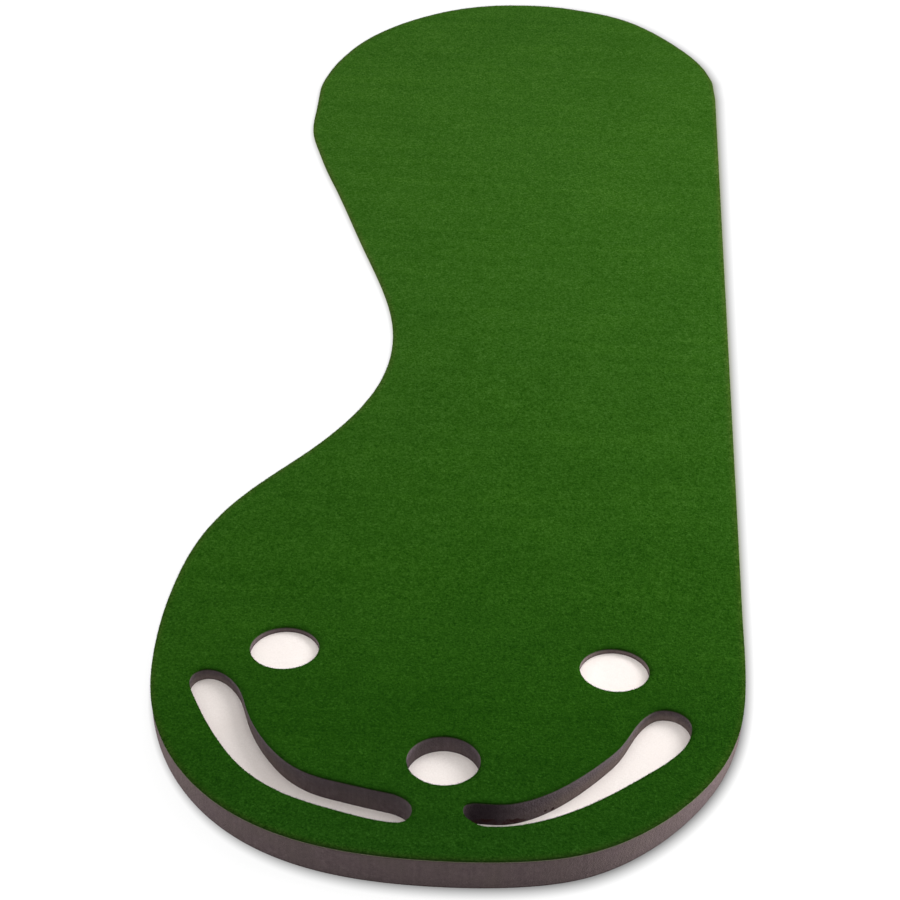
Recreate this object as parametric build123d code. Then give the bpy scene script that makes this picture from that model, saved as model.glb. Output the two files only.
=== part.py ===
from build123d import *
import math
import os

# Practice putting mat, kidney-shaped, with a raised cup end.
#
# Putting turf lies on a non-skid backing.  At the cup end this sheet climbs a
# straight ramp over a foam wedge.  Three round cups and two curved sand traps
# are cut straight down through turf, backing and foam, and a white liner under
# the foam is the floor of them all.
#
# Frame (millimetres): origin at the middle of the footprint, on the floor.
# +Y points from the cup end to the tee end, +X to the right as seen by a
# person standing at the cup end and facing the tee, +Z up.

# ------------------------------------------------------------------ dimensions
PILE_T = 3.0          # turf pile, standing height
BACKING_T = 2.0       # non-skid backing under the pile
LINER_T = 1.0         # white sheet under the foam
MAT_T = PILE_T + BACKING_T

FRONT_Y = -1371.8     # outermost point of the cup end
FRONT_H = 53.0        # overall height there: pile, backing, foam and liner
TOE_Y = -829.8        # where the straight ramp would meet the flat turf
TOE_R = 800.0         # radius of the bend from ramp to flat
FOAM_TIP_T = 1.0      # foam is skived down to this at the toe

CUP_R = 50.0
CUP_CENTRES = [       # (x, y): left, right, centre
    (-225.4, -965.4), (248.8, -963.7), (24.1, -1183.6),
]

SIDE_X = 435.6        # the one straight side, on the right
SIDE_CUP_Y = -831.0   # its end nearer the cups
SIDE_TEE_Y = 905.0    # its end nearer the tee

# Working solids, made larger than the mat and then trimmed
OVERRUN = 60.0        # layer profiles pass the cup and tee ends by this
SLAB_W = 1200.0       # width of the slabs the layers are trimmed from
COLUMN_H = 120.0      # height of the column with the mat's outline
COLUMN_DROP = 10.0    # column is lowered by this to trim the turf and backing
CUTTER_BOTTOM = -20.0
CUTTER_H = 160.0

# Curved outline, (x, y): from the tee end of the straight side round the tee
# end, down the waisted left side and round the cup end to the straight side.
OUTLINE = [
    (SIDE_X, SIDE_TEE_Y), (434.4, 935.0), (432.4, 968.0), (429.9, 999.0),
    (424.4, 1022.0), (413.6, 1060.0), (402.0, 1089.5), (369.2, 1149.5),
    (302.7, 1241.0), (240.6, 1301.9), (171.7, 1340.1), (125.0, 1354.6),
    (73.0, 1367.4), (-7.8, 1370.9), (-94.9, 1358.3), (-172.5, 1327.4),
    (-247.2, 1275.7), (-317.4, 1204.6), (-370.0, 1125.2), (-407.4, 1033.0),
    (-420.6, 986.0), (-430.4, 931.8), (-435.5, 890.0), (-433.7, 819.6),
    (-429.6, 744.0), (-425.0, 676.0), (-415.5, 628.0), (-400.6, 581.1),
    (-374.5, 504.0), (-338.8, 411.5), (-257.5, 190.5), (-194.7, 18.7),
    (-167.7, -90.3), (-161.5, -186.7), (-173.5, -278.3), (-206.5, -373.4),
    (-260.8, -471.4), (-338.8, -585.9), (-383.7, -674.7), (-408.2, -767.4),
    (-416.1, -875.2), (-409.0, -999.8), (-389.2, -1102.6), (-353.7, -1188.1),
    (-305.2, -1256.1), (-242.7, -1310.0), (-168.7, -1346.7), (-79.1, -1367.2),
    (28.5, -1371.5), (140.3, -1361.2), (221.3, -1338.1), (287.5, -1296.0),
    (348.1, -1233.0), (394.3, -1158.3), (421.9, -1075.3), (433.6, -971.3),
    (SIDE_X, SIDE_CUP_Y),
]

# The two sand traps, (x, y) round each closed curve; each is a bent sausage.
TRAP_LEFT = [
    (-330.0, -1026.3), (-342.9, -1037.0), (-346.0, -1052.5), (-335.6, -1083.0),
    (-307.8, -1135.2), (-271.4, -1191.0), (-240.6, -1227.0), (-207.4, -1253.9),
    (-169.2, -1274.6), (-120.3, -1291.3), (-59.3, -1306.9), (-33.5, -1310.2),
    (-15.4, -1306.0), (-7.6, -1290.0), (-11.4, -1272.2), (-25.6, -1259.2),
    (-54.2, -1251.2), (-101.9, -1241.2), (-151.8, -1227.2), (-181.6, -1209.4),
    (-207.1, -1184.5), (-238.4, -1140.6), (-255.8, -1105.1), (-273.7, -1063.2),
    (-293.0, -1039.1), (-311.2, -1027.3),
]
TRAP_RIGHT = [
    (310.7, -1046.4), (294.5, -1059.9), (279.8, -1084.3), (261.8, -1125.0),
    (235.0, -1163.6), (202.5, -1200.6), (167.4, -1231.9), (137.9, -1250.0),
    (108.5, -1259.5), (82.1, -1260.7), (66.4, -1262.4), (59.0, -1267.3),
    (57.5, -1276.4), (60.4, -1287.5), (68.6, -1295.9), (81.5, -1303.7),
    (97.2, -1304.8), (127.0, -1299.4), (160.0, -1287.0), (199.5, -1264.6),
    (249.0, -1226.5), (296.5, -1182.0), (328.6, -1147.9), (348.6, -1116.2),
    (355.8, -1091.3), (355.2, -1069.7), (346.2, -1054.1), (328.5, -1044.9),
]

# ---------------------------------------------------- ramp and bend, worked out
SLOPE = (FRONT_H - MAT_T) / (TOE_Y - FRONT_Y)
RAMP_ANGLE = math.atan(SLOPE)
BEND_TANGENT = TOE_R * math.tan(RAMP_ANGLE / 2)   # toe to either end of the bend
BEND_START_Y = TOE_Y - BEND_TANGENT * math.cos(RAMP_ANGLE)
BEND_MID_Y = TOE_Y + BEND_TANGENT - TOE_R * math.sin(RAMP_ANGLE / 2)
BEND_END_Y = TOE_Y + BEND_TANGENT
PROFILE_START_Y = FRONT_Y - OVERRUN
PROFILE_END_Y = -FRONT_Y + OVERRUN

# The foam stops part-way along the bend, where the backing's underside has
# risen to the liner plus the foam's tip thickness.
TIP_RISE = LINER_T + FOAM_TIP_T
FOAM_END_Y = BEND_END_Y - math.sqrt(TOE_R ** 2 - (TOE_R - TIP_RISE) ** 2)


# ---------------------------------------------------------------- plan shapes
def facing_up(face):
    return face if face.normal_at().Z > 0 else -face


def make_column():
    """Column with the mat's outline, standing on the floor."""
    side = Line((SIDE_X, SIDE_CUP_Y), (SIDE_X, SIDE_TEE_Y))
    # Both ends of the curve run tangent to the straight side.
    kidney = Spline(*OUTLINE, tangents=[(0, 1), (0, 1)], tangent_scalars=[1, 1])
    return extrude(facing_up(Face(Wire([side, kidney]))), COLUMN_H)


def make_cutters():
    """Upright cutters for the traps and cups."""
    plans = [
        facing_up(Face(Wire([Spline(*points, periodic=True)])))
        for points in (TRAP_LEFT, TRAP_RIGHT)
    ]
    plans += [Pos(x, y) * Circle(CUP_R) for x, y in CUP_CENTRES]
    return [
        Pos(0, 0, CUTTER_BOTTOM) * extrude(plan, CUTTER_H, dir=(0, 0, 1))
        for plan in plans
    ]


def cut_through(solid, cutters):
    for cutter in cutters:
        solid = solid - cutter
    return solid


# --------------------------------------------------------------- side profiles
# Each layer of the sheet follows the turf surface, lowered by a depth "drop".
def surface_point(y, drop):
    """Point in the YZ plane on the turf surface lowered by drop."""
    if y <= BEND_START_Y:
        z = MAT_T + SLOPE * (TOE_Y - y)
    elif y >= BEND_END_Y:
        z = MAT_T
    else:
        z = MAT_T + TOE_R - math.sqrt(TOE_R ** 2 - (BEND_END_Y - y) ** 2)
    return (0, y, z - drop)


def surface_edges(drop):
    """Ramp, bend and flat as edges, with their first and last points."""
    stations = (PROFILE_START_Y, BEND_START_Y, BEND_MID_Y, BEND_END_Y, PROFILE_END_Y)
    first, bend_start, bend_mid, bend_end, last = [
        surface_point(y, drop) for y in stations
    ]
    edges = [
        Line(first, bend_start),
        ThreePointArc(bend_start, bend_mid, bend_end),
        Line(bend_end, last),
    ]
    return edges, first, last


def slab(edges):
    """Closed YZ profile extruded across the mat."""
    profile = Face(Wire(edges))
    return Pos(-SLAB_W / 2, 0, 0) * extrude(profile, SLAB_W, dir=(1, 0, 0))


# ---------------------------------------------------------------------- pieces
def make_sheet_layer(top_drop, bottom_drop, column, cutters):
    """One layer of the sheet, between two depths below the turf surface."""
    top, top_first, top_last = surface_edges(top_drop)
    bottom, bottom_first, bottom_last = surface_edges(bottom_drop)
    ends = [Line(top_first, bottom_first), Line(top_last, bottom_last)]
    layer = slab(top + bottom + ends) & (Pos(0, 0, -COLUMN_DROP) * column)
    return cut_through(layer, cutters)


def make_foam_wedge(column, cutters):
    """Foam under the ramp; near its tip the top face follows the bend."""
    bottom_front = (0, PROFILE_START_Y, LINER_T)
    bottom_tip = (0, FOAM_END_Y, LINER_T)
    top_tip = surface_point(FOAM_END_Y, MAT_T)
    top_mid = surface_point((BEND_START_Y + FOAM_END_Y) / 2, MAT_T)
    top_bend = surface_point(BEND_START_Y, MAT_T)
    top_front = surface_point(PROFILE_START_Y, MAT_T)
    wedge = slab([
        Line(bottom_front, bottom_tip),
        Line(bottom_tip, top_tip),
        ThreePointArc(top_tip, top_mid, top_bend),
        Line(top_bend, top_front),
        Line(top_front, bottom_front),
    ])
    return cut_through(wedge & column, cutters)


def make_base_liner(column):
    """White sheet with the wedge's footprint and no cut-outs."""
    middle_y = (PROFILE_START_Y + FOAM_END_Y) / 2
    zone = Box(SLAB_W, FOAM_END_Y - PROFILE_START_Y, LINER_T)
    return (Pos(0, middle_y, LINER_T / 2) * zone) & column


# ---------------------------------------------------------------------- export
column = make_column()
cutters = make_cutters()
PIECES = {
    "putting_turf": make_sheet_layer(0, PILE_T, column, cutters),
    "turf_backing": make_sheet_layer(PILE_T, MAT_T, column, cutters),
    "foam_wedge": make_foam_wedge(column, cutters),
    "base_liner": make_base_liner(column),
}

os.makedirs("parts", exist_ok=True)
for name, shape in PIECES.items():
    solids = shape.solids()
    body = solids[0] if len(solids) == 1 else Compound(children=list(solids))
    body.label = name
    export_step(body, f"parts/{name}.step")
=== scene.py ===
"""A practice putting mat: green pile on a backing, over a foam ramp on a white sheet.

The mat lies on the floor, z = 0, with +Z up.  +Y runs from the raised cup end
(the front) to the tee end.  Shapes are worked out in millimetres and scaled to
metres when a mesh is made.  Materials, lights and the camera are in metres.
"""
import math
from functools import cached_property

import bpy
import numpy as np
from mathutils import Matrix, Vector
from mathutils.geometry import delaunay_2d_cdt


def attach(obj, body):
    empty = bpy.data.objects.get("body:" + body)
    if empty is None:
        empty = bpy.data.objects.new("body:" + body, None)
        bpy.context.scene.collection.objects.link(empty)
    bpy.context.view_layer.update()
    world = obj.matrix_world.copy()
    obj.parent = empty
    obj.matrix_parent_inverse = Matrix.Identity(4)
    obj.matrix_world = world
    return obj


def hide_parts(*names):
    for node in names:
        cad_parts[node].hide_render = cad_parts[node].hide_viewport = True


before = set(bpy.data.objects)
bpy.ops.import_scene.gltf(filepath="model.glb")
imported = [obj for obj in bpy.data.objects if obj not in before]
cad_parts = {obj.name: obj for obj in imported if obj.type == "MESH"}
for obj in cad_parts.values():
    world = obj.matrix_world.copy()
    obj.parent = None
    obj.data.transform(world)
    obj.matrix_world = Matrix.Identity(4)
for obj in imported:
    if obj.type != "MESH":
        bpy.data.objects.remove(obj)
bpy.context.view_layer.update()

RNG = np.random.default_rng(20417)
MM = 0.001

# --------------------------------------------------------------------------
# Dimensions, millimetres
# --------------------------------------------------------------------------
PILE_T, BACKING_T, LINER_T = 3.0, 2.0, 1.0
MAT_T = PILE_T + BACKING_T
FRONT_Y, FRONT_H = -1371.8, 53.0              # the high end of the ramp
TOE_Y, TOE_R, FOAM_TIP_T = -829.8, 800.0, 1.0  # the low end and its bend
CUP_R = 50.0
CUPS = {"left": (-225.4, -965.4), "right": (248.8, -963.7),
        "centre": (24.1, -1183.6)}

# The mat's edge, x and y, from the tee end of its straight right side round
# to the cup end of that side.
OUTLINE = [
    (435.6, 905.0), (434.4, 935.0), (432.4, 968.0), (429.9, 999.0),
    (424.4, 1022.0), (413.6, 1060.0), (402.0, 1089.5), (369.2, 1149.5),
    (302.7, 1241.0), (240.6, 1301.9), (171.7, 1340.1), (125.0, 1354.6),
    (73.0, 1367.4), (-7.8, 1370.9), (-94.9, 1358.3), (-172.5, 1327.4),
    (-247.2, 1275.7), (-317.4, 1204.6), (-370.0, 1125.2), (-407.4, 1033.0),
    (-420.6, 986.0), (-430.4, 931.8), (-435.5, 890.0), (-433.7, 819.6),
    (-429.6, 744.0), (-425.0, 676.0), (-415.5, 628.0), (-400.6, 581.1),
    (-374.5, 504.0), (-338.8, 411.5), (-257.5, 190.5), (-194.7, 18.7),
    (-167.7, -90.3), (-161.5, -186.7), (-173.5, -278.3), (-206.5, -373.4),
    (-260.8, -471.4), (-338.8, -585.9), (-383.7, -674.7), (-408.2, -767.4),
    (-416.1, -875.2), (-409.0, -999.8), (-389.2, -1102.6), (-353.7, -1188.1),
    (-305.2, -1256.1), (-242.7, -1310.0), (-168.7, -1346.7), (-79.1, -1367.2),
    (28.5, -1371.5), (140.3, -1361.2), (221.3, -1338.1), (287.5, -1296.0),
    (348.1, -1233.0), (394.3, -1158.3), (421.9, -1075.3), (433.6, -971.3),
    (435.6, -831.0),
]
# The edges of the two curved traps, x and y, closed.
TRAPS = {
    "trap_left": [
        (-330.0, -1026.3), (-342.9, -1037.0), (-346.0, -1052.5), (-335.6, -1083.0),
        (-307.8, -1135.2), (-271.4, -1191.0), (-240.6, -1227.0), (-207.4, -1253.9),
        (-169.2, -1274.6), (-120.3, -1291.3), (-59.3, -1306.9), (-33.5, -1310.2),
        (-15.4, -1306.0), (-7.6, -1290.0), (-11.4, -1272.2), (-25.6, -1259.2),
        (-54.2, -1251.2), (-101.9, -1241.2), (-151.8, -1227.2), (-181.6, -1209.4),
        (-207.1, -1184.5), (-238.4, -1140.6), (-255.8, -1105.1), (-273.7, -1063.2),
        (-293.0, -1039.1), (-311.2, -1027.3),
    ],
    "trap_right": [
        (310.7, -1046.4), (294.5, -1059.9), (279.8, -1084.3), (261.8, -1125.0),
        (235.0, -1163.6), (202.5, -1200.6), (167.4, -1231.9), (137.9, -1250.0),
        (108.5, -1259.5), (82.1, -1260.7), (66.4, -1262.4), (59.0, -1267.3),
        (57.5, -1276.4), (60.4, -1287.5), (68.6, -1295.9), (81.5, -1303.7),
        (97.2, -1304.8), (127.0, -1299.4), (160.0, -1287.0), (199.5, -1264.6),
        (249.0, -1226.5), (296.5, -1182.0), (328.6, -1147.9), (348.6, -1116.2),
        (355.8, -1091.3), (355.2, -1069.7), (346.2, -1054.1), (328.5, -1044.9),
    ],
}

# The ramp, and the bend that eases it into the flat part
SLOPE = (FRONT_H - MAT_T) / (TOE_Y - FRONT_Y)
THETA = math.atan(SLOPE)
BEND_L = TOE_R * math.tan(THETA / 2)
BEND_Y1 = TOE_Y - BEND_L * math.cos(THETA)
BEND_Y2 = TOE_Y + BEND_L
FOAM_END_Y = BEND_Y2 - math.sqrt(TOE_R ** 2 - (TOE_R - LINER_T - FOAM_TIP_T) ** 2)

CUT_REACH = 3.0     # points this close to a cut-out's edge belong to its wall


def surface_z(y):
    """Height of the turf's top over the floor for an array of y."""
    y = np.asarray(y, float)
    bend = MAT_T + TOE_R - np.sqrt(
        np.maximum(TOE_R ** 2 - np.clip(BEND_Y2 - y, 0, TOE_R) ** 2, 0))
    ramp = MAT_T + SLOPE * (TOE_Y - y)
    return np.where(y <= BEND_Y1, ramp, np.where(y >= BEND_Y2, MAT_T, bend))


# --------------------------------------------------------------------------
# Curves.  An outline is an array of x, y points, closed unless it says so.
# --------------------------------------------------------------------------
def resample(line, step, closed):
    """Points evenly spaced along a fine polyline; closed drops the repeated end."""
    along = np.r_[0, np.cumsum(np.hypot(*np.diff(line, axis=0).T))]
    count = int(round(along[-1] / step))
    at = np.linspace(0, along[-1], count + 1)
    out = np.c_[np.interp(at, along, line[:, 0]), np.interp(at, along, line[:, 1])]
    return out[:-1] if closed else out


def spline(points, closed, step):
    """Cubic spline by chord length, sampled evenly.  Open ends run along +Y."""
    p = np.array(points, float)
    if closed:
        p = np.vstack([p, p[:1]])
    h = np.diff(np.r_[0, np.cumsum(np.hypot(*np.diff(p, axis=0).T))])
    n = len(p)
    system = np.zeros((n, n))
    target = np.zeros((n, 2))
    for i in range(1, n - 1):
        system[i, i - 1:i + 2] = h[i], 2 * (h[i - 1] + h[i]), h[i - 1]
        target[i] = 3 * ((p[i] - p[i - 1]) / h[i - 1] * h[i]
                         + (p[i + 1] - p[i]) / h[i] * h[i - 1])
    if closed:
        system[0, 0], system[0, -1] = 1, -1
        system[-1, 0], system[-1, 1] = 2 * h[-1], h[-1]
        system[-1, -1] += 2 * h[0]
        system[-1, -2] += h[0]
        target[-1] = 3 * ((p[1] - p[0]) / h[0] * h[-1] + (p[-1] - p[-2]) / h[-1] * h[0])
    else:
        system[0, 0] = system[-1, -1] = 1
        target[0] = target[-1] = (0, 1)
    slope = np.linalg.solve(system, target)
    fine = []
    for i in range(n - 1):
        count = max(2, int(math.ceil(h[i] / 0.5)))
        s = np.linspace(0, 1, count, endpoint=False)[:, None]
        fine.append((2 * s ** 3 - 3 * s ** 2 + 1) * p[i]
                    + (s ** 3 - 2 * s ** 2 + s) * h[i] * slope[i]
                    + (-2 * s ** 3 + 3 * s ** 2) * p[i + 1]
                    + (s ** 3 - s ** 2) * h[i] * slope[i + 1])
    fine.append(p[-1:])
    return resample(np.vstack(fine), step, closed)


def counter_clockwise(outline):
    x, y = outline[:, 0], outline[:, 1]
    area = 0.5 * np.sum(x * np.roll(y, -1) - y * np.roll(x, -1))
    return outline if area > 0 else outline[::-1]


def mat_outline(step):
    """The whole outline, counter-clockwise."""
    curve = spline(OUTLINE, False, 0.5)
    side_x, side_y = OUTLINE[-1]
    straight = np.array([(side_x, y) for y in np.arange(side_y, OUTLINE[0][1], 0.5)])
    return counter_clockwise(
        resample(np.vstack([curve, straight[1:], curve[:1]]), step, True))


def cutouts(step):
    """Counter-clockwise outlines of the five cut-outs, by name."""
    out = {}
    for name, (x, y) in CUPS.items():
        count = int(round(2 * math.pi * CUP_R / step))
        a = np.linspace(0, 2 * math.pi, count, endpoint=False)
        out["cup_" + name] = np.c_[x + CUP_R * np.cos(a), y + CUP_R * np.sin(a)]
    for name, points in TRAPS.items():
        out[name] = counter_clockwise(spline(points, True, step))
    return out


def with_cutouts(outer, cuts):
    """The loops of a layer: its outer edge, then its cut-outs by name."""
    return [outer] + [cuts[name] for name in sorted(cuts)]


def clip_front(outline, y_max, step):
    """The part of an outline with y below y_max, closed by a straight."""
    count = len(outline)
    below = outline[:, 1] < y_max

    def crossing(a, b):
        return a + (b - a) * (y_max - a[1]) / (b[1] - a[1])

    start = next(i for i in range(count) if below[i] and not below[i - 1])
    run = np.array([outline[(start + i) % count] for i in range(count)
                    if below[(start + i) % count]])
    first = crossing(outline[start - 1], outline[start])
    end = (start + len(run) - 1) % count
    last = crossing(outline[end], outline[(end + 1) % count])
    pieces = max(2, int(abs(first[0] - last[0]) / step))
    straight = np.c_[np.linspace(last[0], first[0], pieces + 1)[:-1],
                     np.full(pieces, y_max)]
    return counter_clockwise(np.vstack([first[None], run, straight]))


def outward(outline):
    """Unit normals that point out of a counter-clockwise outline."""
    d = np.roll(outline, -1, 0) - np.roll(outline, 1, 0)
    n = np.c_[d[:, 1], -d[:, 0]]
    return n / np.maximum(np.hypot(*n.T)[:, None], 1e-9)


def edge_normals(loops):
    """Normals that point away from the layer, for each of its loops."""
    return [outward(loop) * (1 if i == 0 else -1) for i, loop in enumerate(loops)]


def move(outline, normals, distance):
    return outline + normals * np.asarray(distance)[:, None]


def inside(points, outline):
    """Whether each point is inside the outline."""
    out = np.zeros(len(points), bool)
    x1, y1 = outline[:, 0], outline[:, 1]
    x2, y2 = np.roll(x1, -1), np.roll(y1, -1)
    block = 4000
    for a in range(0, len(points), block):
        x = points[a:a + block, 0][:, None]
        y = points[a:a + block, 1][:, None]
        spans = (y1 > y) != (y2 > y)
        with np.errstate(divide="ignore", invalid="ignore"):
            cross_x = (x2 - x1) * (y - y1) / (y2 - y1) + x1
        out[a:a + block] = (np.sum(spans & (x < cross_x), axis=1) % 2) == 1
    return out


def in_box(points, outline, margin=0):
    """Numbers of the points in the outline's bounding box, grown by margin."""
    above = (points > outline.min(0) - margin).all(1)
    return np.nonzero(above & (points < outline.max(0) + margin).all(1))[0]


def in_layer(points, loops):
    """Whether each point is inside the first loop and outside the others."""
    keep = inside(points, loops[0])
    for hole in loops[1:]:
        boxed = in_box(points, hole)
        keep[boxed[inside(points[boxed], hole)]] = False
    return keep


def near(points, targets, reach):
    """Whether each point is within reach of any target point."""
    cells = {}
    for x, y in targets:
        i, j = int(x // reach), int(y // reach)
        for a in (-1, 0, 1):
            for b in (-1, 0, 1):
                cells.setdefault((i + a, j + b), []).append((x, y))
    own = np.floor(points / reach).astype(int)
    return np.array([any((x - px) ** 2 + (y - py) ** 2 < reach * reach
                         for x, y in cells.get((i, j), ()))
                     for (px, py), (i, j) in zip(points, own)], bool)


def nearest(points, outline):
    """The number of the outline point nearest each point, and its distance."""
    which, distance = [], []
    for part in np.array_split(points, 1 + len(points) // 1500):
        squared = ((part[:, None, :2] - outline[None]) ** 2).sum(2)
        which.append(squared.argmin(1))
        distance.append(np.sqrt(squared.min(1)))
    return np.concatenate(which), np.concatenate(distance)


def smoothstep(s):
    return s * s * (3 - 2 * s)


# --------------------------------------------------------------------------
# Noise on arrays
# --------------------------------------------------------------------------
def cell_hash(ix, iy, iz, seed):
    """A number in 0..1 for each whole-numbered cell."""
    h = (ix * 374761393 + iy * 668265263 + iz * 2147483647 + seed * 1274126177)
    h = h.astype(np.int64) & 0xFFFFFFFF
    h = ((h ^ (h >> 13)) * 1274126177) & 0xFFFFFFFF
    h = (h ^ (h >> 16)) & 0xFFFFFFFF
    return h / 4294967295.0


def noise3(p, seed):
    """Smooth value noise in -1..1 at points p (n, 3), one cell per unit."""
    i = np.floor(p).astype(np.int64)
    f = p - i
    f = f * f * f * (f * (f * 6 - 15) + 10)
    out = 0.0
    for dx in (0, 1):
        for dy in (0, 1):
            for dz in (0, 1):
                weight = (np.where(dx, f[:, 0], 1 - f[:, 0])
                          * np.where(dy, f[:, 1], 1 - f[:, 1])
                          * np.where(dz, f[:, 2], 1 - f[:, 2]))
                out = out + weight * cell_hash(
                    i[:, 0] + dx, i[:, 1] + dy, i[:, 2] + dz, seed)
    return out * 2 - 1


def noise2(xy, size, seed):
    """Noise over the plan: a slice through noise3 with cells of a given size."""
    return noise3(np.c_[xy / size, np.full(len(xy), 0.37)], seed)


def ripple(xy, *parts):
    """A sum of plan noises, each part given as (height, size, seed)."""
    return sum(height * noise2(xy, size, seed) for height, size, seed in parts)


def pit_distance(p, size, seed):
    """Distance, in cells, to the nearest of one random point per cell."""
    q = p / size
    i = np.floor(q).astype(np.int64)
    best = np.full(len(p), 9.0)
    for dx in (-1, 0, 1):
        for dy in (-1, 0, 1):
            for dz in (-1, 0, 1):
                c = i + np.array([dx, dy, dz])
                offset = np.stack([cell_hash(c[:, 0], c[:, 1], c[:, 2], s)
                                   for s in (seed, seed + 7, seed + 19)], axis=1)
                best = np.minimum(best, np.linalg.norm(c + offset - q, axis=1))
    return best


# --------------------------------------------------------------------------
# Meshes
# --------------------------------------------------------------------------
def make_object(name, verts, faces, material):
    """A smooth object from vertices in millimetres and triangles."""
    me = bpy.data.meshes.new(name)
    v = np.asarray(verts, np.float32) * np.float32(MM)
    f = np.asarray(faces, np.int32)
    me.vertices.add(len(v))
    me.vertices.foreach_set("co", v.ravel())
    me.loops.add(f.size)
    me.loops.foreach_set("vertex_index", f.ravel())
    me.polygons.add(len(f))
    me.polygons.foreach_set("loop_start", np.arange(0, f.size, 3, dtype=np.int32))
    me.polygons.foreach_set("loop_total", np.full(len(f), 3, np.int32))
    me.update(calc_edges=True)
    me.validate()
    me.polygons.foreach_set("use_smooth", np.full(len(me.polygons), True))
    me.update()
    ob = bpy.data.objects.new(name, me)
    bpy.context.scene.collection.objects.link(ob)
    me.materials.append(material)
    return ob


def point_value(ob, name, value_at):
    """An attribute worked out from each point's place in millimetres."""
    co = np.empty(len(ob.data.vertices) * 3, np.float32)
    ob.data.vertices.foreach_get("co", co)
    attribute = ob.data.attributes.new(name, "FLOAT", "POINT")
    values = value_at(co.reshape(-1, 3) / MM)
    attribute.data.foreach_set("value", values.astype(np.float32))


def near_cutouts(points, loops):
    return near(points[:, :2], np.vstack(loops[1:]), CUT_REACH)


def wall_faces(upper, lower, flip):
    """Triangles between two closed rows of vertex numbers."""
    upper2, lower2 = np.roll(upper, -1), np.roll(lower, -1)
    tri = np.vstack([np.c_[lower, lower2, upper2], np.c_[lower, upper2, upper]])
    return tri[:, ::-1] if flip else tri


def scattered_points(outline, size):
    """Jittered staggered points over the outline's box, size(y) apart."""
    jitter = 0.28
    lo, hi = outline.min(0), outline.max(0)
    rows, y = [], lo[1]
    while y < hi[1]:
        s = size(y)
        xs = np.arange(lo[0] + (len(rows) % 2) * s / 2, hi[0], s)
        rows.append(np.c_[xs, np.full(len(xs), y)]
                    + RNG.uniform(-jitter, jitter, (len(xs), 2)) * s)
        y += s * 0.866
    return np.vstack(rows)


def inner_points(loops, size, clear, ring=None):
    """Points for fill(): a ring at one inset from every loop, if asked for, and
    scattered points that keep clear of the edges by a share of their spacing."""
    rings = []
    if ring:
        rings = [loop - n * ring for loop, n in zip(loops, edge_normals(loops))]
    field = scattered_points(loops[0], size)
    field = field[in_layer(field, loops)]
    ys = np.linspace(loops[0][:, 1].min(), loops[0][:, 1].max(), 9)
    reach = float(max(size(y) for y in ys)) * clear
    field = field[~near(field, np.vstack(loops + rings), reach)]
    return np.vstack(rings + [field])


def fill(loops, inner):
    """Plan points and counter-clockwise triangles that fill a layer's loops."""
    pts = np.vstack(loops + [inner])
    edges, first = [], 0
    for loop in loops:
        k = len(loop)
        edges += [(first + i, first + (i + 1) % k) for i in range(k)]
        first += k
    res = delaunay_2d_cdt([Vector(p) for p in pts.tolist()], edges, [], 0, 1e-6, True)
    source = np.full(len(res[0]), -1)
    for k, origins in enumerate(res[3]):
        if origins:
            source[k] = min(origins)
    tri = source[np.array([list(f) for f in res[2]], int)]
    tri = tri[(tri >= 0).all(1)]
    tri = tri[in_layer(pts[tri].mean(1), loops)]
    a = pts[tri]
    area = ((a[:, 1, 0] - a[:, 0, 0]) * (a[:, 2, 1] - a[:, 0, 1])
            - (a[:, 2, 0] - a[:, 0, 0]) * (a[:, 1, 1] - a[:, 0, 1]))
    flip = area < 0
    tri[flip] = tri[flip][:, ::-1]
    return pts, tri


def layer(loops, top_inner, bottom_inner, top_z, bottom_z, rows, wall):
    """A closed solid layer: a top face, a bottom face and a wall per loop.

    rows holds, for each loop, the depths of its wall's rows from 0 (top) to
    1 (bottom).  wall(outline, normals, depth, z, thickness) places one row."""
    top, top_faces = fill(loops, top_inner)
    bottom, bottom_faces = fill(loops, bottom_inner)
    top = np.c_[top, top_z(top)]
    bottom = np.c_[bottom, bottom_z(bottom)]
    verts = [top, bottom]
    faces = [top_faces, bottom_faces[:, ::-1] + len(top)]
    first, added = 0, len(top) + len(bottom)
    for i, (loop, normals) in enumerate(zip(loops, edge_normals(loops))):
        k = len(loop)
        edge = slice(first, first + k)
        high, low = top[edge, 2].copy(), bottom[edge, 2].copy()
        upper = None
        for depth in rows[i]:
            moved = wall(loop, normals, depth, high + (low - high) * depth, high - low)
            if depth == 0:
                top[edge] = moved
                row = np.arange(first, first + k)
            elif depth == 1:
                bottom[edge] = moved
                row = np.arange(first, first + k) + len(top)
            else:
                verts.append(moved)
                row = np.arange(added, added + k)
                added += k
            if upper is not None:
                faces.append(wall_faces(upper, row, flip=i != 0))
            upper = row
        first += k
    return np.vstack(verts), np.vstack(faces)


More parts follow.
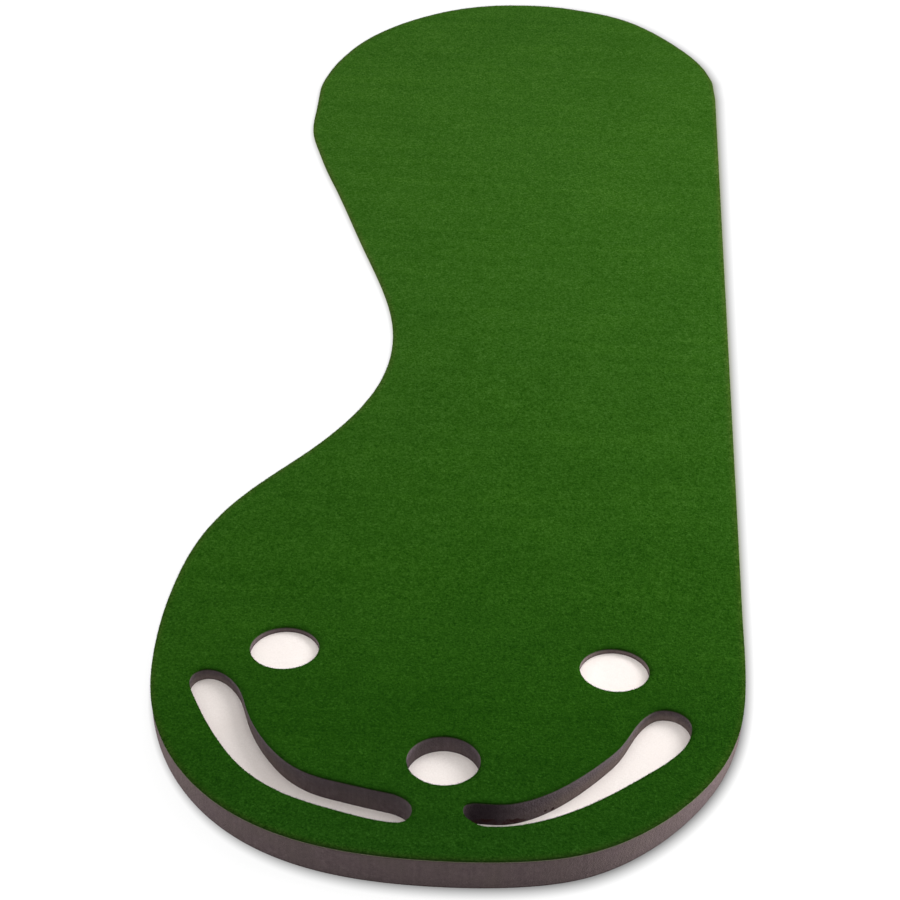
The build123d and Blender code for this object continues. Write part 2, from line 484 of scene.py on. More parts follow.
# --------------------------------------------------------------------------
# Materials
# --------------------------------------------------------------------------
class Shader:
    """A short way to write the nodes of a material or a world."""

    def __init__(self, owner):
        self.owner = owner
        owner.use_nodes = True
        self.tree = owner.node_tree
        self.tree.nodes.clear()

    def put(self, socket, value):
        if isinstance(value, bpy.types.NodeSocket):
            self.tree.links.new(value, socket)
        else:
            socket.default_value = value

    def node(self, kind, inputs=None, **settings):
        node = self.tree.nodes.new("ShaderNode" + kind)
        for name, value in settings.items():
            setattr(node, name, value)
        for key, value in (inputs or {}).items():
            self.put(node.inputs[key], value)
        return node

    @cached_property
    def position(self):
        return self.node("TexCoord").outputs["Object"]

    def axes(self, vector):
        return self.node("SeparateXYZ", {0: vector}).outputs

    def attribute(self, name, output="Fac"):
        return self.node("Attribute", attribute_name=name).outputs[output]

    def noise(self, scale=1.0, detail=2.0, rough=0.5, distort=0.0, stretch=None):
        vector = self.position
        if stretch:
            vector = self.node("Mapping", {"Vector": vector, "Scale": stretch}).outputs[0]
        return self.node("TexNoise", {
            "Vector": vector, "Scale": scale, "Detail": detail,
            "Roughness": rough, "Distortion": distort}).outputs[0]

    def voronoi(self, scale):
        return self.node("TexVoronoi", {
            "Vector": self.position, "Scale": scale}).outputs["Distance"]

    def ramp(self, factor, stops):
        """A colour ramp with stops given as (position, colour)."""
        node = self.node("ValToRGB", {0: factor})
        elements = node.color_ramp.elements
        while len(elements) < len(stops):
            elements.new(0.5)
        for element, (at, colour) in zip(elements, stops):
            element.position = at
            element.color = (*colour, 1.0)
        return node.outputs[0]

    def remap(self, value, span, to=(0.0, 1.0), smooth=False):
        return self.node(
            "MapRange", dict(enumerate((value, *span, *to))), clamp=True,
            interpolation_type="SMOOTHSTEP" if smooth else "LINEAR").outputs[0]

    def math(self, operation, *values):
        return self.node("Math", dict(enumerate(values)), operation=operation).outputs[0]

    def product(self, first, *others):
        for other in others:
            first = self.math("MULTIPLY", first, other)
        return first

    def linear(self, value, gain, offset):
        return self.math("MULTIPLY_ADD", value, gain, offset)

    def weighted(self, *terms):
        """A sum of terms given as (value, weight)."""
        value, weight = terms[-1]
        total = self.product(value, weight)
        for value, weight in reversed(terms[:-1]):
            total = self.linear(value, weight, total)
        return total

    def mix(self, factor, a, b, blend="MIX"):
        a, b = ((*c, 1.0) if isinstance(c, tuple) else c for c in (a, b))
        return self.node("Mix", {0: factor, 6: a, 7: b},
                         data_type="RGBA", blend_type=blend).outputs[2]

    def tint(self, a, b):
        return self.mix(1.0, a, b, "MULTIPLY")

    def bump(self, height, distance, strength):
        return self.node("Bump", {
            "Height": height, "Distance": distance, "Strength": strength}).outputs[0]

    def finish(self, **inputs):
        """Ends a material in a Principled shader with these inputs."""
        inputs = {name.replace("_", " "): value for name, value in inputs.items()}
        surface = self.node("BsdfPrincipled", inputs).outputs[0]
        self.node("OutputMaterial", {"Surface": surface})
        return self.owner


def new_shader(name):
    return Shader(bpy.data.materials.new(name))


def painted_pile_sheen(s):
    """Painted sheen: the pile's colour is made lighter and yellower along the floor than from
    above.
    """
    toward_eye = s.axes(s.node("NewGeometry").outputs["Incoming"])
    return s.ramp(toward_eye[2], [
        (0.36, (1.04, 1.00, 1.06)), (0.437, (0.98, 0.945, 0.965)),
        (0.518, (0.78, 0.795, 0.77)), (0.573, (0.640, 0.69, 0.60)),
        (0.646, (0.48, 0.585, 0.37)), (0.70, (0.315, 0.465, 0.200)),
        (0.746, (0.275, 0.415, 0.245)), (1.00, (0.58, 0.70, 0.52))])


def turf_material():
    s = new_shader("turf_pile")
    fine = s.noise(scale=620, detail=1.0, rough=0.6)
    tuft = s.noise(scale=270, detail=1.0, rough=0.6)
    clump = s.noise(scale=95, rough=0.55)
    blotch = s.noise(scale=7.0, detail=3.0, rough=0.55)
    rows = s.noise(stretch=(2.2, 34.0, 2.0))
    colour = s.ramp(s.weighted((fine, 0.40), (tuft, 0.44), (clump, 0.16)), [
        (0.34, (0.0080, 0.0480, 0.0005)), (0.46, (0.0215, 0.0815, 0.0048)),
        (0.56, (0.0340, 0.1060, 0.0100)), (0.68, (0.0640, 0.1560, 0.0270))])
    tone = s.ramp(s.weighted((blotch, 0.5), (rows, 0.5)), [
        (0.36, (0.88, 0.92, 0.86)), (0.52, (1.0, 1.0, 1.0)), (0.66, (1.12, 1.08, 1.10))])
    colour = s.tint(colour, tone)
    # painted sheen, set by the angle the pile is seen at
    colour = s.tint(colour, painted_pile_sheen(s))
    # backing that shows along the outline, and painted shade where the pile bends over the cut
    # edges
    rim = s.attribute("rim")
    colour = s.mix(rim, colour, s.tint(colour, (1.80, 1.04, 1.90)))
    # dark green painted shade for the pile over the cut edges
    edge_shade_colour = s.mix(rim, (0.0060, 0.0330, 0.0010), (0.0085, 0.0175, 0.0030))
    colour = s.mix(s.attribute("painted_edge_shade"), colour, edge_shade_colour)
    height = s.weighted((fine, 0.6), (tuft, 0.6))
    return s.finish(Base_Color=colour, Roughness=0.95, Specular_IOR_Level=0.02,
                    Normal=s.bump(height, distance=0.0016, strength=0.7))


def fibre_material():
    s = new_shader("turf_fibre")
    colour = s.ramp(s.noise(scale=420, detail=1.0), [
        (0.34, (0.0100, 0.0420, 0.0026)), (0.52, (0.0240, 0.0820, 0.0064)),
        (0.70, (0.0520, 0.1400, 0.0160))])
    # painted sheen, set by the angle the fibres are seen at
    colour = s.tint(colour, painted_pile_sheen(s))
    colour = s.tint(colour, (1.48, 1.00, 1.52))
    return s.finish(Base_Color=colour, Roughness=0.85, Specular_IOR_Level=0.05)


def backing_material():
    s = new_shader("turf_backing")
    grain = s.noise(scale=520, detail=3.0, rough=0.6)
    stain = s.noise(scale=40, detail=3.0, rough=0.6)
    colour = s.ramp(grain, [
        (0.30, (0.064, 0.060, 0.036)), (0.52, (0.108, 0.100, 0.066)),
        (0.72, (0.170, 0.155, 0.112))])
    colour = s.mix(s.remap(stain, span=(0.40, 0.70)), colour, (0.080, 0.080, 0.046))
    # painted shade on the backing along the cut-outs, under the pile's edge
    cutout_edge_shade = s.product(s.attribute("cut"), 0.80)
    colour = s.mix(cutout_edge_shade, colour, (0.020, 0.028, 0.010))
    height = s.weighted((grain, 0.4), (s.voronoi(scale=330), 0.8))
    return s.finish(Base_Color=colour,
                    Roughness=s.remap(grain, span=(0.3, 0.7), to=(0.72, 0.92)),
                    Specular_IOR_Level=0.25,
                    Normal=s.bump(height, distance=0.0006, strength=0.5))


# Two drops of glue on the right trap's cut wall, metres: x, z, radius
GLUE_DROPS = ((0.1633, 0.0074, 0.0021), (0.1730, 0.0048, 0.0024))


def foam_material():
    s = new_shader("foam_charcoal")
    x, y, z = s.axes(s.position)[:3]
    falling = (1.0, 0.0)

    # charcoal, with painted shade in the pores, and streaked down the cut walls
    pore = s.voronoi(scale=900)
    wide_pore = s.voronoi(scale=430)
    fine = s.noise(scale=1300, rough=0.6)
    middle = s.noise(scale=140, detail=3.0, rough=0.6)
    broad = s.noise(scale=16, detail=3.0, rough=0.55)
    saw = s.noise(stretch=(260.0, 260.0, 14.0))
    colour = s.ramp(middle, [
        (0.30, (0.078, 0.0560, 0.0585)), (0.52, (0.094, 0.0685, 0.0705)),
        (0.72, (0.1130, 0.0845, 0.0860))])
    colour = s.mix(s.remap(broad, span=(0.40, 0.66)), colour, (0.0920, 0.0690, 0.0670))
    # pores darkened: painted shade
    colour = s.tint(colour, s.product(
        s.remap(pore, span=(0.02, 0.34), to=(0.52, 1.0), smooth=True),
        s.remap(wide_pore, span=(0.02, 0.22), to=(0.66, 1.0), smooth=True),
        s.remap(saw, span=(0.3, 0.7), to=(0.93, 1.07))))

    # a brown glue line where the foam meets the sheet under it, heavy in one
    # spot at the narrow end of the right-hand trap
    from_spot = s.math("ABSOLUTE", s.math("SUBTRACT", x, 0.098))
    spot = s.product(s.remap(from_spot, span=(0.020, 0.058), to=falling, smooth=True),
                     s.remap(y, span=(-1.2500, -1.2440), to=falling, smooth=True),
                     s.remap(y, span=(-1.3150, -1.3130)))
    waver = s.linear(s.noise(scale=150), gain=0.010, offset=-0.0045)
    glue_top = s.math("ADD", s.linear(spot, gain=0.0075, offset=0.0030),
                      s.product(waver, s.linear(spot, gain=0.8, offset=0.2)))
    glue = s.remap(s.math("SUBTRACT", z, glue_top), span=(-0.0012, 0.0006),
                   to=falling, smooth=True)
    patch = s.remap(s.noise(scale=70, detail=3.0, rough=0.6), span=(0.44, 0.53))
    glue = s.product(glue, s.weighted((patch, 0.75), (spot, 0.25)))

    # light thrown back by the white sheet on the lower part of the cut walls
    warm = s.mix(s.attribute("lift"), (1.0, 1.0, 1.0), (2.0, 2.0, 1.70))
    colour = s.tint(colour, warm)
    # painted shade: the walls darkened at the narrow end of the right-hand trap
    narrow_end_shade = s.product(spot, s.remap(x, span=(0.088, 0.138), to=falling, smooth=True))
    colour = s.mix(s.product(narrow_end_shade, 0.70), colour, (0.014, 0.007, 0.011))
    colour = s.mix(s.attribute("cut"), colour, s.tint(colour, (1.05, 1.11, 1.20)))
    glue = s.product(glue, s.linear(spot, gain=0.42, offset=0.50))
    colour = s.mix(glue, colour, (0.036, 0.0120, 0.0115))

    ragged = s.linear(s.noise(scale=420), gain=0.0030, offset=-0.0015)
    for drop_x, drop_z, radius in GLUE_DROPS:
        dx, dz = s.math("SUBTRACT", x, drop_x), s.math("SUBTRACT", z, drop_z)
        squared = s.math("ADD", s.product(dx, dx), s.product(dz, dz))
        distance = s.math("ADD", s.math("POWER", squared, 0.5), ragged)
        drop = s.product(
            s.remap(distance, span=(0.75 * radius, 1.25 * radius), to=falling, smooth=True),
            s.remap(y, span=(-1.2205, -1.2195), to=falling),
            s.remap(y, span=(-1.2560, -1.2550), to=(0.0, 0.85)))
        colour = s.mix(drop, colour, (0.030, 0.0130, 0.0115))

    height = s.math("ADD", s.product(pore, 0.9), s.weighted((wide_pore, 0.9), (fine, 0.35)))
    return s.finish(Base_Color=colour, Roughness=0.95, Specular_IOR_Level=0.12,
                    Normal=s.bump(height, distance=0.0009, strength=0.6))


def liner_material():
    s = new_shader("base_liner")
    along, across = (
        s.noise(detail=3.0, rough=0.6, distort=0.6, stretch=stretch)
        for stretch in ((900.0, 240.0, 500.0), (220.0, 880.0, 500.0)))
    soft = s.noise(scale=11, detail=3.0)
    felt = s.weighted((along, 0.5), (across, 0.5))
    colour = s.ramp(felt, [
        (0.34, (0.770, 0.705, 0.670)), (0.52, (0.835, 0.772, 0.738)),
        (0.68, (0.885, 0.830, 0.798))])
    colour = s.mix(s.remap(soft, span=(0.42, 0.70), to=(0.0, 0.5)),
                   colour, (0.800, 0.725, 0.688))
    # painted shade on the sheet in the left-hand trap
    colour = s.mix(s.attribute("left_trap_shade"), colour, (0.22, 0.175, 0.165))
    return s.finish(Base_Color=colour, Roughness=0.88, Specular_IOR_Level=0.2,
                    Normal=s.bump(felt, distance=0.0004, strength=0.45))


# --------------------------------------------------------------------------
# Green pile
# --------------------------------------------------------------------------
# How far the pile's edge bulges out at each depth of its wall
PILE_BULGE = {0: -0.95, 0.18: -0.18, 0.5: 0.34, 0.8: 0.22, 1: -0.05}
PILE_EDGE_DROP = 0.55       # the top edge is rounded down by this much


def pile_spacing(y):
    """Fine at the cup end, easing to coarser towards the tee."""
    return 3.8 if y < -760 else 3.8 + min(1.0, (y + 760) / 260.0) * 2.7


def pile_top(p):
    return surface_z(p[:, 1]) + ripple(p, (0.30, 8.0, 3), (0.26, 17.0, 4), (0.30, 95.0, 5))


def pile_wall(outline, normals, depth, z, thickness):
    rough = ripple(outline, (0.22, 3.1, 11), (0.12, 9.0, 12))
    rough = rough * (0.4 if depth in (0, 1) else 1.0)
    drop = PILE_EDGE_DROP if depth == 0 else 0.0
    return np.c_[move(outline, normals, PILE_BULGE[depth] + rough), z - drop]


def by_outline(points, outline, reach):
    """The points near the outline: their numbers, nearest points, distances."""
    idx = np.nonzero(near(points[:, :2], outline, reach))[0]
    return idx, *nearest(points[idx], outline)


def rim(points, outline):
    """Thin pile along the outline, where the backing shows between the tufts."""
    out = np.zeros(len(points))
    idx, _, distance = by_outline(points, outline, reach=11.0)
    out[idx] = np.exp(-(distance / 5.6) ** 1.6)
    return out


def painted_edge_shade(points, loops):
    """Painted shade where the pile leans over a cut edge: most just past the far (+Y) side of
    an opening, and over the front of the mat."""
    out = np.zeros(len(points))
    idx, which, distance = by_outline(points, loops[0], reach=6.0)
    front = np.clip(-outward(loops[0])[which, 1], 0, 1) ** 0.7
    out[idx] = 0.55 * front * np.exp(-(distance / 1.7) ** 1.6)
    for hole in loops[1:]:
        idx = in_box(points[:, :2], hole, margin=22)
        which, distance = nearest(points[idx], hole)
        far_side = np.clip(outward(hole)[which, 1], 0, 1) ** 0.7
        fall = np.exp(-(distance / 5.5) ** 1.3)
        out[idx] = np.maximum(out[idx], 0.62 * fall * far_side)
    return out


def build_turf(loops, material):
    inner = inner_points(loops, pile_spacing, clear=0.55, ring=2.1)
    under = inner_points(loops, lambda y: 21.0, clear=0.5)
    v, f = layer(loops, inner, under, pile_top,
                 lambda p: surface_z(p[:, 1]) - PILE_T,
                 [tuple(PILE_BULGE)] * len(loops), pile_wall)
    turf = make_object("putting_turf", v, f, material)
    point_value(turf, "painted_edge_shade", lambda p: painted_edge_shade(p, loops))
    point_value(turf, "rim", lambda p: rim(p, loops[0]))
    return turf


# --------------------------------------------------------------------------
# Fibres that stand out of the pile's cut edges
# --------------------------------------------------------------------------
def fibre_mesh(base, start_dir, end_dir, length, radius):
    """Closed three-sided fibres with one bend.  All arguments are arrays."""
    count = len(base)
    d0 = start_dir / np.linalg.norm(start_dir, axis=1)[:, None]
    d1 = end_dir / np.linalg.norm(end_dir, axis=1)[:, None]
    ref = np.where(np.abs(d0[:, 2:3]) < 0.9, [[0, 0, 1.0]], [[1.0, 0, 0]])
    u = np.cross(d0, ref)
    u /= np.linalg.norm(u, axis=1)[:, None]
    w = np.cross(d0, u)
    bend = base + d0 * (length * 0.55)[:, None]
    v = np.zeros((count, 7, 3))
    for i in range(3):
        a = 2 * math.pi * i / 3
        side = u * math.cos(a) + w * math.sin(a)
        v[:, i] = base + side * radius[:, None]
        v[:, 3 + i] = bend + side * (radius * 0.8)[:, None]
    v[:, 6] = bend + d1 * (length * 0.45)[:, None]
    tri = [(0, 2, 1)]
    for i in range(3):
        j = (i + 1) % 3
        tri += [(i, j, 3 + j), (i, 3 + j, 3 + i), (3 + i, 3 + j, 6)]
    faces = (np.arange(count)[:, None, None] * 7 + np.array(tri)[None]).reshape(-1, 3)
    return v.reshape(-1, 3), faces


def loop_fibres(loop, normals, per_mm):
    """The arguments of fibre_mesh() for the fibres along one loop."""
    seg = np.hypot(*(np.roll(loop, -1, 0) - loop).T)
    total = seg.sum()
    k = int(total * per_mm)
    at = np.sort(RNG.uniform(0, total, k))
    cum = np.r_[0, np.cumsum(seg)]
    i = np.clip(np.searchsorted(cum, at, side="right") - 1, 0, len(loop) - 1)
    s = ((at - cum[i]) / seg[i])[:, None]
    p = loop[i] * (1 - s) + loop[(i + 1) % len(loop)] * s
    normal = normals[i]
    tangent = np.c_[-normal[:, 1], normal[:, 0]]

    def direction(lean, spin):
        """lean is the angle from upright, spin the turn from the edge's normal."""
        flat = normal * np.cos(spin)[:, None] + tangent * np.sin(spin)[:, None]
        return np.c_[flat * np.sin(lean)[:, None], np.cos(lean)]

    from_wall = RNG.uniform(0, 1, k) < 0.42         # the rest grow from the top
    inset = np.where(from_wall, 0.25, RNG.uniform(0.3, 3.4, k))
    depth = np.where(from_wall, RNG.uniform(0.5, PILE_T - 0.5, k), 0.75)
    lean = np.where(from_wall, RNG.uniform(0.9, 1.5, k),
                    np.clip(1.05 - inset * 0.26, 0.1, 1) * RNG.uniform(0.5, 1.3, k))
    spin = RNG.normal(0, 0.55, k)
    end_lean = np.clip(lean + RNG.uniform(0.1, 0.75, k), 0, 1.9)
    end_spin = spin + RNG.normal(0, 0.5, k)
    base = np.c_[p - normal * inset[:, None], surface_z(p[:, 1]) - depth]
    length = np.where(from_wall, RNG.uniform(0.7, 1.7, k), RNG.uniform(1.3, 2.5, k))
    radius = RNG.uniform(0.11, 0.20, k)
    return base, direction(lean, spin), direction(end_lean, end_spin), length, radius


def build_fibres(name, loops, normals, per_mm, material):
    parts = [loop_fibres(loop, n, per_mm) for loop, n in zip(loops, normals)]
    v, f = fibre_mesh(*(np.concatenate(part) for part in zip(*parts)))
    return make_object(name, v, f, material)


# --------------------------------------------------------------------------
# Non-skid backing
# --------------------------------------------------------------------------
def backing_wall(outline, normals, depth, z, thickness):
    end_inset = 0.22 if depth in (0, 1) else 0.0
    d = -0.12 + ripple(outline, (0.16, 5.0, 21)) - end_inset
    return np.c_[move(outline, normals, d), z]


def build_backing(material):
    loops = with_cutouts(mat_outline(3.4), cutouts(2.4))
    inner = inner_points(loops, lambda y: 11.0, clear=0.5, ring=1.4)
    v, f = layer(loops, inner, inner,
                 lambda p: surface_z(p[:, 1]) - PILE_T,
                 lambda p: surface_z(p[:, 1]) - MAT_T + 0.10 * (1 + noise2(p, 13.0, 22)),
                 [(0, 0.3, 0.7, 1)] * len(loops), backing_wall)
    backing = make_object("turf_backing", v, f, material)
    point_value(backing, "cut", lambda p: near_cutouts(p, loops))
    return backing


# --------------------------------------------------------------------------
# Foam wedge
# --------------------------------------------------------------------------
FOAM_STEP = 1.4
# Rows in the wedge's outer wall, then in the wall of each cut-out
FOAM_OUTER_ROWS = 26
FOAM_ROWS = {"cup_centre": 24, "cup_left": 10, "cup_right": 10,
             "trap_left": 27, "trap_right": 27}
# Gain of the light on each trap's wall, by distance to the side of x = 0
TRAP_LIFT = {"trap_right": (1, [95.0, 145.0, 185.0], [0.0, 0.25, 0.80]),
             "trap_left": (-1, [140.0, 190.0], [0.25, 0.60])}
SHALLOW_CUP_LIFT = {"cup_right": 0.55, "cup_left": 0.25}


def foam_wall(outline, normals, depth, z, thickness):
    """Saw marks, pits and grit, on walls over 2 mm tall and less at their ends."""
    p = np.c_[outline, z]
    saw = (0.12 * noise3(np.c_[outline / 14.0, z / 60.0], 31)
           + 0.04 * noise3(np.c_[outline / 3.2, z / 30.0], 32))
    wide = pit_distance(p, size=3.4, seed=41)
    small = pit_distance(p + 50, size=2.1, seed=43)
    pits = -0.85 * np.clip(1 - wide / 0.46, 0, 1) ** 1.3 - 0.45 * np.clip(1 - small / 0.5, 0, 1)
    grit = 0.10 * noise3(p / 1.9, 33)
    d = np.where(thickness > 2.0, saw + pits + grit, 0.0)
    from_end = min(depth, 1 - depth)
    d = d * min(1.0, 0.35 + from_end * 12) - 0.15
    d = np.where(outline[:, 1] > FOAM_END_Y - 0.5, 0.0, d)
    return np.c_[move(outline, normals, d), z]


def foam_lift(points, loops, cuts):
    """How much lighter the low part of a cut wall looks over the white sheet."""
    xy = points[:, :2]
    top = surface_z(points[:, 1]) - MAT_T
    low = np.clip(((top - points[:, 2]) / np.maximum(top - LINER_T, 1.0) - 0.1) / 0.7, 0, 1)
    gain = np.full(len(points), 0.25)
    for name, (side, xs, gains) in TRAP_LIFT.items():
        at_x = np.interp(side * points[:, 0], xs, gains)
        gain = np.where(near(xy, cuts[name], CUT_REACH), at_x, gain)
    out = gain * smoothstep(low) * near_cutouts(points, loops)
    for name, amount in SHALLOW_CUP_LIFT.items():
        out = np.where(near(xy, cuts[name], CUT_REACH), amount, out)
    return out


def build_foam(material):
    outer = clip_front(mat_outline(FOAM_STEP), FOAM_END_Y, FOAM_STEP)
    cuts = cutouts(FOAM_STEP)
    loops = with_cutouts(outer, cuts)
    counts = [FOAM_OUTER_ROWS] + [FOAM_ROWS[name] for name in sorted(cuts)]
    inner = inner_points(loops, lambda y: 9.0, clear=0.45)
    v, f = layer(loops, inner, inner,
                 lambda p: surface_z(p[:, 1]) - MAT_T,
                 lambda p: np.full(len(p), LINER_T),
                 [np.linspace(0, 1, count) for count in counts], foam_wall)
    foam = make_object("foam_wedge", v, f, material)
    point_value(foam, "cut", lambda p: near_cutouts(p, loops))
    point_value(foam, "lift", lambda p: foam_lift(p, loops, cuts))
    return foam


# --------------------------------------------------------------------------
# White base sheet
# --------------------------------------------------------------------------
def liner_top(points, holes):
    """A soft sheet: it eases up a little in the middle of each opening."""
    rise = np.zeros(len(points))
    for hole in holes.values():
        idx = in_box(points, hole, margin=4)
        idx = idx[inside(points[idx], hole)]
        p = points[idx]
        _, d = nearest(p, hole)
        swell = 0.9 * smoothstep(np.clip(d / 22.0, 0, 1)) * (1 + 0.35 * noise2(p, 40.0, 51))
        rise[idx] = swell + 0.10 * np.clip(d / 4, 0, 1) * noise2(p, 7.0, 52)
    return LINER_T + rise


def liner_wall(outline, normals, depth, z, thickness):
    end_inset = 0.10 if depth in (0, 1) else 0
    d = -0.95 + ripple(outline, (0.45, 19.0, 53)) - end_inset
    d = np.where(outline[:, 1] > FOAM_END_Y - 0.5, 0.0, d)
    return np.c_[move(outline, normals, d), z]


def liner_points(outer, holes, size):
    """Fine points inside the openings, coarse elsewhere."""
    coarse = scattered_points(outer, lambda y: 12.0)
    coarse = coarse[inside(coarse, outer)]
    fine = []
    for hole in holes.values():
        box = np.array([hole.min(0) - 3, hole.max(0) + 3])
        field = scattered_points(box, lambda y: size)
        field = field[inside(field, hole)]
        boxed = in_box(coarse, hole, margin=3)
        coarse = np.delete(coarse, boxed[inside(coarse[boxed], hole)], 0)
        coarse = coarse[~near(coarse, hole, size * 0.5)]
        fine += [field[~near(field, hole, size * 0.5)], hole]
    out = np.vstack([coarse] + fine)
    return out[~near(out, outer, 1.8)]


def build_liner(material):
    outer = clip_front(mat_outline(2.5), FOAM_END_Y, 2.5)
    holes = cutouts(4.0)
    v, f = layer([outer], liner_points(outer, holes, 2.2),
                 np.zeros((0, 2)), lambda p: liner_top(p, holes),
                 lambda p: np.zeros(len(p)), [(0, 0.5, 1)], liner_wall)
    liner = make_object("base_liner", v, f, material)
    # painted shade for the sheet in the left-hand trap
    point_value(liner, "left_trap_shade", lambda p: 0.165 * inside(p[:, :2], holes["trap_left"]))
    return liner


# --------------------------------------------------------------------------
# The mat
# --------------------------------------------------------------------------
def build_mat():
    pile, fibre = turf_material(), fibre_material()
    backing, foam, liner = backing_material(), foam_material(), liner_material()

    loops = with_cutouts(mat_outline(3.2), cutouts(2.2))
    normals = edge_normals(loops)
    per_mm = 2.9
    turf = build_turf(loops, pile)
    fibres = [
        build_fibres("putting_turf_edge_fibres", loops[:1], normals[:1], per_mm, fibre),
        build_fibres("putting_turf_cutout_fibres", loops[1:], normals[1:],
                     per_mm * 1.55, fibre)]
    layers = (     # object, CAD node, material slot
        (turf, "putting_turf", "turf_pile"),
        (build_backing(backing), "turf_backing", "backing"),
        (build_foam(foam), "foam_wedge", "foam"),
        (build_liner(liner), "base_liner", "liner"))
    for ob, node, slot in layers:
        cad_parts[node].name = "cad_" + node
        ob.name = node
        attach(ob, "root")
    for ob in fibres:
        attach(ob, "root")
    for ob, node, _ in layers:
        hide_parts(node)


# --------------------------------------------------------------------------
# Floor
# --------------------------------------------------------------------------
FLOOR_ALBEDO = 0.14
FLOOR_GLOW, FLOOR_GLOW_FAR = 0.85, 0.97     # emission by the mat and far away
FLOOR_Z = -0.0002                           # metres
FLOOR_REACH = 70000.0
# Places of the rings of points round the mat, in widths of the contact shade
SHADE_RINGS = (0.0, 0.08, 0.18, 0.3, 0.45, 0.62, 0.8, 1.0, 1.25)


def floor_mesh():
    """A wide floor whose points close to the mat carry a contact shade."""
    edge = mat_outline(9.0)
    n = outward(edge)
    # the shade is deeper and wider to the right and front, wider to the tee
    side = n @ np.array([0.80, -0.60])
    wide = n @ np.array([0.90, -0.44])
    grow = 1.28 + (edge[:, 1] + 1370.0) / 2740.0 * 1.22
    flat = np.hypot(n[:, 0] * 0.64, n[:, 1]) / 0.64
    width = (8.0 + 4.4 * wide) * grow * flat
    depth = 0.48 + 0.24 * side
    rings = [edge + n * (width * k)[:, None] for k in SHADE_RINGS]
    keep = [1.0 - depth * max(0.0, 1.0 - k) ** 1.3 for k in SHADE_RINGS]
    close = [np.full(len(edge), max(0.0, 1.0 - k / 0.34)) for k in SHADE_RINGS]

    corners = np.array([(-1, -1), (1, -1), (1, 1), (-1, 1)]) * FLOOR_REACH
    grid = np.array([(x, y) for x in np.arange(-3000, 3001, 500)
                     for y in np.arange(-3500, 3501, 500)], float)
    grid = grid[~inside(grid, rings[-1])]
    grid = grid[~near(grid, rings[-1], 60.0)]
    pts = np.vstack(rings + [corners, grid])
    open_count = len(corners) + len(grid)
    keep = np.r_[np.concatenate(keep), np.ones(open_count)]
    away = np.r_[np.zeros(len(pts) - open_count), np.ones(open_count)]
    # painted green light thrown back from the turf, beside the turf only
    turf_bounce = np.clip((pts[:, 1] + 1010.0) / 150.0, 0, 1)
    turf_bounce *= np.r_[np.concatenate(close), np.zeros(open_count)]
    shade = np.c_[keep ** (1 + 0.05 * turf_bounce), keep, keep ** (1 + 0.32 * turf_bounce), np.ones(len(pts))]

    res = delaunay_2d_cdt([Vector(p) for p in pts.tolist()], [], [], 0, 1e-6, True)
    source = [min(origins) for origins in res[3]]
    me = bpy.data.meshes.new("floor")
    me.from_pydata([(p.x * MM, p.y * MM, FLOOR_Z) for p in res[0]], [],
                   [tuple(f) for f in res[2]])
    me.attributes.new("shade", "FLOAT_COLOR", "POINT").data.foreach_set(
        "color", shade[source].astype(np.float32).ravel())
    me.attributes.new("away", "FLOAT", "POINT").data.foreach_set(
        "value", away[source].astype(np.float32))
    return me


def floor_material():
    s = new_shader("floor_white")
    shade = s.attribute("shade", "Color")
    return s.finish(
        Base_Color=s.tint((FLOOR_ALBEDO,) * 3, shade), Roughness=0.9,
        Specular_IOR_Level=0.1, Emission_Color=shade,
        Emission_Strength=s.remap(s.attribute("away"), span=(0.0, 1.0),
                                  to=(FLOOR_GLOW, FLOOR_GLOW_FAR)))


def build_floor():
    me = floor_mesh()
    me.materials.append(floor_material())
    floor = bpy.data.objects.new("floor", me)
    bpy.context.scene.collection.objects.link(floor)


# --------------------------------------------------------------------------
# World, lights and camera, metres
# --------------------------------------------------------------------------
WORLD_FRONT, WORLD_BACK, WORLD_SEEN = 0.48, 0.52, 1.0   # strengths
LIGHTS = (      # name, place, aim, size, power in watts
    ("key_right", (2.5, 0.6, 3.0), (0.0, -0.3, 0.0), (2.2, 2.2), 104.0),
    ("top_front", (-0.1, -1.5, 4.0), (0.0, -0.2, 0.0), (3.6, 3.2), 80.0),
    ("strip_right", (2.3, -0.65, 0.27), (0.4, -1.1, 0.03), (1.8, 0.45), 92.0),
    ("strip_left", (-2.3, -0.65, 0.27), (-0.4, -1.1, 0.03), (1.8, 0.45), 48.0),
)
CAMERA_PLACE = (0.1690, -2.96996, 1.87536)
CAMERA_YAW, CAMERA_PITCH, CAMERA_ROLL = -4.56, 36.493, -0.849   # degrees
CAMERA_SENSOR, CAMERA_LENS = 36.0, 76.104                       # millimetres


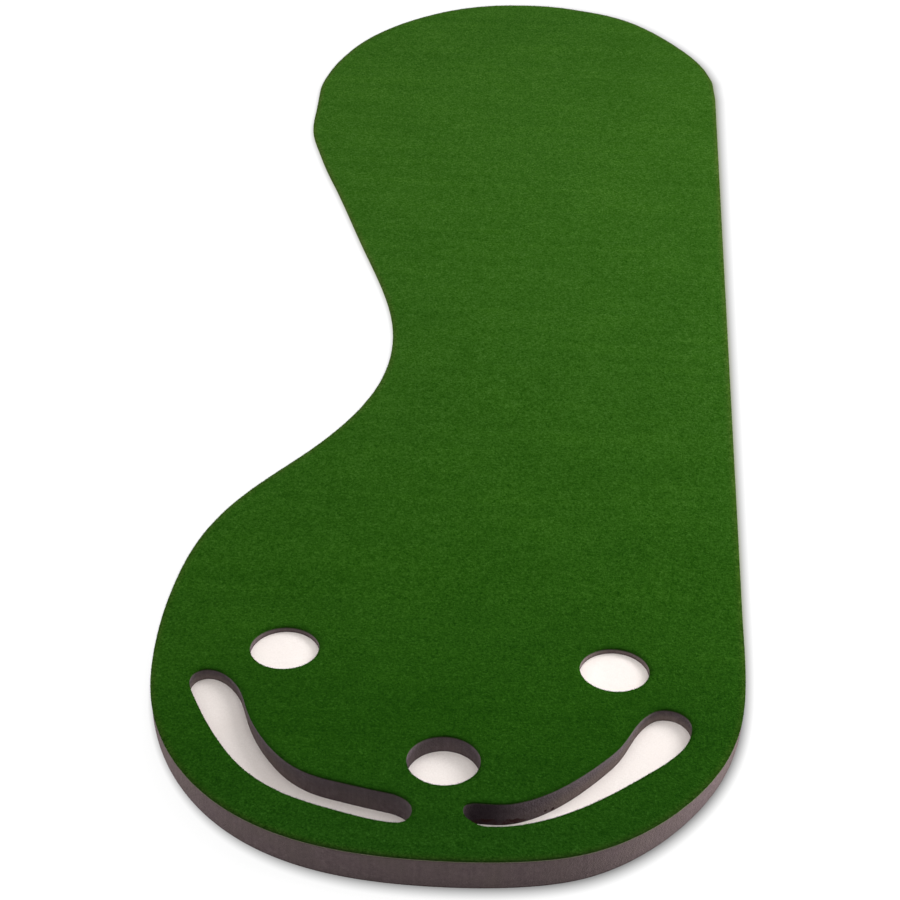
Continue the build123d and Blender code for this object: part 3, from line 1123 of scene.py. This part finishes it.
def build_world():
    """A white world to the camera, and a dimmer one to the lighting."""
    world = bpy.data.worlds.new("studio")
    bpy.context.scene.world = world
    s = Shader(world)
    y = s.axes(s.node("TexCoord").outputs["Generated"])[1]
    lighting = s.remap(y, span=(-0.9, 0.3), to=(WORLD_FRONT, WORLD_BACK))
    seen = s.node("LightPath").outputs["Is Camera Ray"]
    strength = s.node("Mix", {0: seen, 2: lighting, 3: WORLD_SEEN}, data_type="FLOAT")
    background = s.node("Background", {
        "Color": (1.0, 1.0, 1.0, 1.0), "Strength": strength.outputs[0]})
    s.node("OutputWorld", {"Surface": background.outputs[0]})


def build_light(name, place, aim, size, power):
    light = bpy.data.lights.new(name, "AREA")
    light.shape = "RECTANGLE"
    light.size, light.size_y = size
    light.energy = power
    ob = bpy.data.objects.new(name, light)
    bpy.context.scene.collection.objects.link(ob)
    ob.location = place
    ob.rotation_mode = "QUATERNION"
    ob.rotation_quaternion = (Vector(aim) - Vector(place)).to_track_quat("-Z", "Y")
    ob.visible_camera = False


def build_camera():
    data = bpy.data.cameras.new("camera")
    camera = bpy.data.objects.new("camera", data)
    bpy.context.scene.collection.objects.link(camera)
    yaw, pitch, roll = map(math.radians, (CAMERA_YAW, CAMERA_PITCH, CAMERA_ROLL))
    ahead = Vector((math.sin(yaw) * math.cos(pitch), math.cos(yaw) * math.cos(pitch),
                    -math.sin(pitch)))
    level = Vector((math.cos(yaw), -math.sin(yaw), 0.0))
    below = ahead.cross(level)
    right = level * math.cos(roll) + below * math.sin(roll)
    down = -level * math.sin(roll) + below * math.cos(roll)
    turn = Matrix((right, -down, -ahead)).transposed()
    camera.matrix_world = Matrix.Translation(CAMERA_PLACE) @ turn.to_4x4()
    data.sensor_width = CAMERA_SENSOR
    data.lens = CAMERA_LENS
    data.clip_start, data.clip_end = 0.05, 200.0
    bpy.context.scene.camera = camera


def set_view():
    bpy.context.scene.display_settings.display_device = "sRGB"
    view = bpy.context.scene.view_settings
    view.view_transform = "Standard"
    view.look = "None"
    view.exposure = 0.0
    view.gamma = 1.0


build_mat()
build_floor()
build_world()
for light_row in LIGHTS:
    build_light(*light_row)
build_camera()
set_view()
